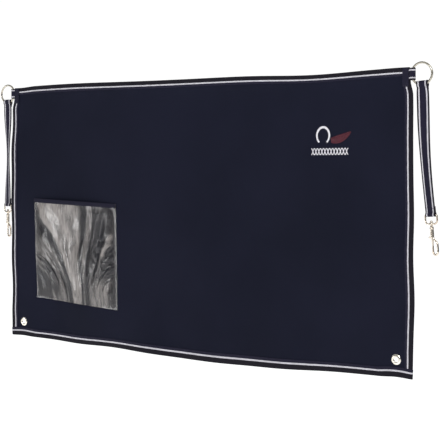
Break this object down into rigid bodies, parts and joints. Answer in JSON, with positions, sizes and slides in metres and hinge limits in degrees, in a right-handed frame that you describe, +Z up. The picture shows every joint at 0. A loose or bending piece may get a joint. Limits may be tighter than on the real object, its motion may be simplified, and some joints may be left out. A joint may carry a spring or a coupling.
{
  "type": "stable door drape",
  "caption": "Navy cloth drape for a stable doorway, hung by corner rings, with hanging webbing straps, swivel bolt snaps and a clear document pocket.",
  "frame": {"origin": "midway between the highest inner points of the two rings, on the line that the drape hangs from", "axes": "+X along the sheet to its right seen from the front, -Y the front with the pocket, +Z up"},
  "size_m": [1.3638, 0.0179, 0.7115],
  "materials": {
    "cloth": "closely woven navy polyester, matt with a faint sheen",
    "tape": "woven edge tape, near black with a light stripe",
    "webbing": "flat woven navy webbing with two light stripes",
    "nickel": "nickel plate, slightly dulled",
    "spring_steel": "drawn spring wire",
    "film": "soft clear film, glossy and creased",
    "white_thread": "satin stitch embroidery",
    "red_thread": "satin stitch embroidery"
  },
  "bodies": {
    "drape": {"panel_sheet": "cloth", "binding_top": "tape", "binding_bottom": "tape", "binding_left": "tape", "binding_right": "tape", "corner_patch_left": "tape", "corner_patch_right": "tape", "ring_tab_left": "webbing", "ring_tab_right": "webbing", "eyelet_left": "nickel", "eyelet_right": "nickel", "eyelet_washer_left": "nickel", "eyelet_washer_right": "nickel", "pocket_window": "film", "pocket_tape": "tape", "motif_horseshoe": "white_thread", "motif_flash": "red_thread", "motif_braid": "white_thread"},
    "ring_left": {"ring_left": "nickel"},
    "strap_left": {"strap_left": "webbing"},
    "eye_left": {"snap_eye_left": "nickel"},
    "snap_left": {"snap_body_left": "nickel", "bolt_spring_left": "spring_steel"},
    "bolt_left": {"snap_bolt_left": "nickel"},
    "ring_right": {"ring_right": "nickel"},
    "strap_right": {"strap_right": "webbing"},
    "eye_right": {"snap_eye_right": "nickel"},
    "snap_right": {"snap_body_right": "nickel", "bolt_spring_right": "spring_steel"},
    "bolt_right": {"snap_bolt_right": "nickel"}
  },
  "joints": [
    {"name": "ring_swing_left", "type": "hinge", "parent": "drape", "child": "ring_left", "pos_m": [-0.62364, 0, -0.0225], "axis": [0, 0, 1], "range_deg": [-28, 28]},
    {"name": "strap_swing_left", "type": "hinge", "parent": "ring_left", "child": "strap_left", "pos_m": [-0.6465, 0, -0.0225], "axis": [0, 1, 0], "range_deg": [-0.5, 90]},
    {"name": "eye_pivot_left", "type": "hinge", "parent": "strap_left", "child": "eye_left", "pos_m": [-0.6465, 0, -0.33991], "axis": [0.9781, -0.2079, 0], "range_deg": [-70, 70]},
    {"name": "snap_swivel_left", "type": "hinge", "parent": "eye_left", "child": "snap_left", "pos_m": [-0.6465, 0, -0.33991], "axis": [0, 0, 1], "continuous": true},
    {"name": "bolt_slide_left", "type": "slide", "parent": "snap_left", "child": "bolt_left", "axis": [0, 0, 1], "range_m": [0, 0.008], "stiffness_N_per_m": 250, "springref_m": -0.008, "deforming": ["bolt_spring_left"]},
    {"name": "ring_swing_right", "type": "hinge", "parent": "drape", "child": "ring_right", "pos_m": [0.62364, 0, -0.0225], "axis": [0, 0, 1], "range_deg": [-28, 28]},
    {"name": "strap_swing_right", "type": "hinge", "parent": "ring_right", "child": "strap_right", "pos_m": [0.6465, 0, -0.0225], "axis": [0, -1, 0], "range_deg": [-4, 86]},
    {"name": "eye_pivot_right", "type": "hinge", "parent": "strap_right", "child": "eye_right", "pos_m": [0.66864, 0, -0.33914], "axis": [0.9636, -0.2588, 0.0674], "range_deg": [-70, 70]},
    {"name": "snap_swivel_right", "type": "hinge", "parent": "eye_right", "child": "snap_right", "pos_m": [0.66864, 0, -0.33914], "axis": [-0.0698, 0, 0.9976], "continuous": true},
    {"name": "bolt_slide_right", "type": "slide", "parent": "snap_right", "child": "bolt_right", "axis": [-0.0698, 0, 0.9976], "range_m": [0, 0.008], "stiffness_N_per_m": 250, "springref_m": -0.008, "deforming": ["bolt_spring_right"]}
  ]
}
